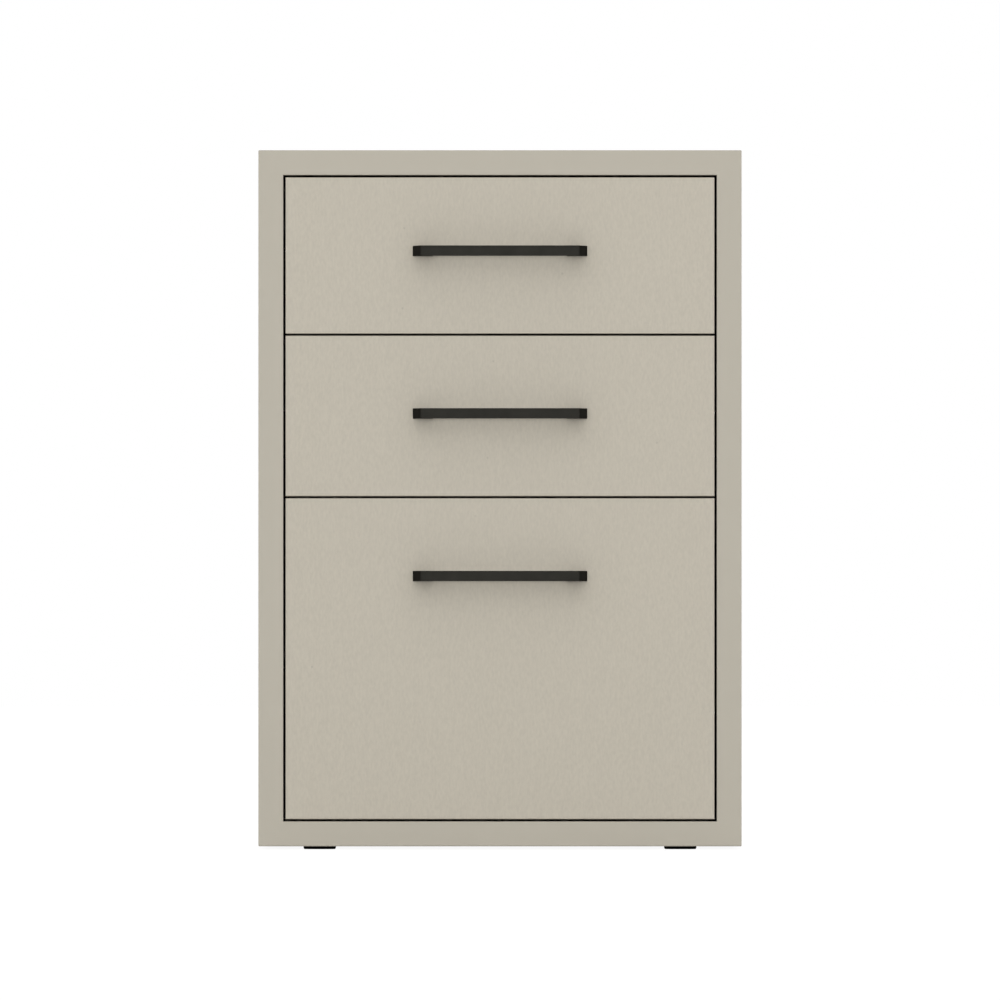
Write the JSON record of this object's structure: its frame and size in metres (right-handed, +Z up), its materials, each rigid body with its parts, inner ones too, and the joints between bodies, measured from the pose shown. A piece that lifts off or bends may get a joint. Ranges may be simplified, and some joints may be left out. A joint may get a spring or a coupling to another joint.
{
  "type": "filing cabinet",
  "caption": "Steel filing cabinet with shallow drawers over a deep file drawer, bar handles, full-extension ball-bearing slides and low glides.",
  "frame": {"origin": "on the floor, under the middle of the cabinet's bounding box, handles included", "axes": "+X to the right seen from the front, +Y to the back, +Z up; the drawers open along -Y"},
  "size_m": [0.47, 0.632, 0.68],
  "materials": {
    "casing_paint": "light warm grey powder coat, satin",
    "front_paint": "light warm grey, satin, with a faint upright grain",
    "handle_black": "black, satin",
    "galvanised": "galvanised sheet, dull",
    "zinc": "zinc plated, satin",
    "bright_steel": "bright steel",
    "black_plastic": "moulded, matt"
  },
  "bodies": {
    "casing": {"casing_shell": "casing_paint", "base_pan": "casing_paint", "back_panel": "casing_paint", "side_liner_left": "galvanised", "side_liner_right": "galvanised", "glide_front_left": "black_plastic", "glide_front_right": "black_plastic", "glide_rear_left": "black_plastic", "glide_rear_right": "black_plastic", "counterweight": "galvanised", "counterweight_screws": "bright_steel", "casing_rivets": "casing_paint", "slide_stops": "black_plastic", "top_slide_outer_left": "zinc", "top_slide_outer_right": "zinc", "middle_slide_outer_left": "zinc", "middle_slide_outer_right": "zinc", "file_slide_outer_left": "zinc", "file_slide_outer_right": "zinc"},
    "top_drawer": {"top_front_skin": "front_paint", "top_front_plate": "front_paint", "top_tray": "galvanised", "top_handle": "handle_black", "top_handle_screws": "bright_steel", "top_front_screws": "bright_steel", "top_slide_inner_left": "zinc", "top_slide_inner_right": "zinc", "top_slide_rivets": "zinc"},
    "top_middle_members": {"top_slide_middle_left": "zinc", "top_slide_middle_right": "zinc"},
    "top_outer_cages": {"top_outer_ball_cages": "bright_steel"},
    "top_inner_cages": {"top_inner_ball_cages": "bright_steel"},
    "middle_drawer": {"middle_front_skin": "front_paint", "middle_front_plate": "front_paint", "middle_tray": "galvanised", "middle_handle": "handle_black", "middle_handle_screws": "bright_steel", "middle_front_screws": "bright_steel", "middle_slide_inner_left": "zinc", "middle_slide_inner_right": "zinc", "middle_slide_rivets": "zinc"},
    "middle_middle_members": {"middle_slide_middle_left": "zinc", "middle_slide_middle_right": "zinc"},
    "middle_outer_cages": {"middle_outer_ball_cages": "bright_steel"},
    "middle_inner_cages": {"middle_inner_ball_cages": "bright_steel"},
    "file_drawer": {"file_front_skin": "front_paint", "file_front_plate": "front_paint", "file_tray": "galvanised", "file_handle": "handle_black", "file_handle_screws": "bright_steel", "file_front_screws": "bright_steel", "file_slide_inner_left": "zinc", "file_slide_inner_right": "zinc", "file_slide_rivets": "zinc", "file_rail_left": "galvanised", "file_rail_right": "galvanised"},
    "file_middle_members": {"file_slide_middle_left": "zinc", "file_slide_middle_right": "zinc"},
    "file_outer_cages": {"file_outer_ball_cages": "bright_steel"},
    "file_inner_cages": {"file_inner_ball_cages": "bright_steel"}
  },
  "joints": [
    {"name": "top_drawer_slide", "type": "slide", "parent": "casing", "child": "top_drawer", "axis": [0, -1, 0], "range_m": [0, 0.55]},
    {"name": "top_middle_members_slide", "type": "slide", "parent": "casing", "child": "top_middle_members", "axis": [0, -1, 0], "range_m": [0, 0.275]},
    {"name": "top_outer_cages_slide", "type": "slide", "parent": "casing", "child": "top_outer_cages", "axis": [0, -1, 0], "range_m": [0, 0.1375]},
    {"name": "top_inner_cages_slide", "type": "slide", "parent": "casing", "child": "top_inner_cages", "axis": [0, -1, 0], "range_m": [0, 0.4125]},
    {"name": "middle_drawer_slide", "type": "slide", "parent": "casing", "child": "middle_drawer", "axis": [0, -1, 0], "range_m": [0, 0.55]},
    {"name": "middle_middle_members_slide", "type": "slide", "parent": "casing", "child": "middle_middle_members", "axis": [0, -1, 0], "range_m": [0, 0.275]},
    {"name": "middle_outer_cages_slide", "type": "slide", "parent": "casing", "child": "middle_outer_cages", "axis": [0, -1, 0], "range_m": [0, 0.1375]},
    {"name": "middle_inner_cages_slide", "type": "slide", "parent": "casing", "child": "middle_inner_cages", "axis": [0, -1, 0], "range_m": [0, 0.4125]},
    {"name": "file_drawer_slide", "type": "slide", "parent": "casing", "child": "file_drawer", "axis": [0, -1, 0], "range_m": [0, 0.55]},
    {"name": "file_middle_members_slide", "type": "slide", "parent": "casing", "child": "file_middle_members", "axis": [0, -1, 0], "range_m": [0, 0.275]},
    {"name": "file_outer_cages_slide", "type": "slide", "parent": "casing", "child": "file_outer_cages", "axis": [0, -1, 0], "range_m": [0, 0.1375]},
    {"name": "file_inner_cages_slide", "type": "slide", "parent": "casing", "child": "file_inner_cages", "axis": [0, -1, 0], "range_m": [0, 0.4125]}
  ],
  "couplings": [
    {"joint": "top_middle_members_slide", "follows": "top_drawer_slide", "ratio": 0.5},
    {"joint": "top_outer_cages_slide", "follows": "top_drawer_slide", "ratio": 0.25},
    {"joint": "top_inner_cages_slide", "follows": "top_drawer_slide", "ratio": 0.75},
    {"joint": "middle_middle_members_slide", "follows": "middle_drawer_slide", "ratio": 0.5},
    {"joint": "middle_outer_cages_slide", "follows": "middle_drawer_slide", "ratio": 0.25},
    {"joint": "middle_inner_cages_slide", "follows": "middle_drawer_slide", "ratio": 0.75},
    {"joint": "file_middle_members_slide", "follows": "file_drawer_slide", "ratio": 0.5},
    {"joint": "file_outer_cages_slide", "follows": "file_drawer_slide", "ratio": 0.25},
    {"joint": "file_inner_cages_slide", "follows": "file_drawer_slide", "ratio": 0.75}
  ]
}
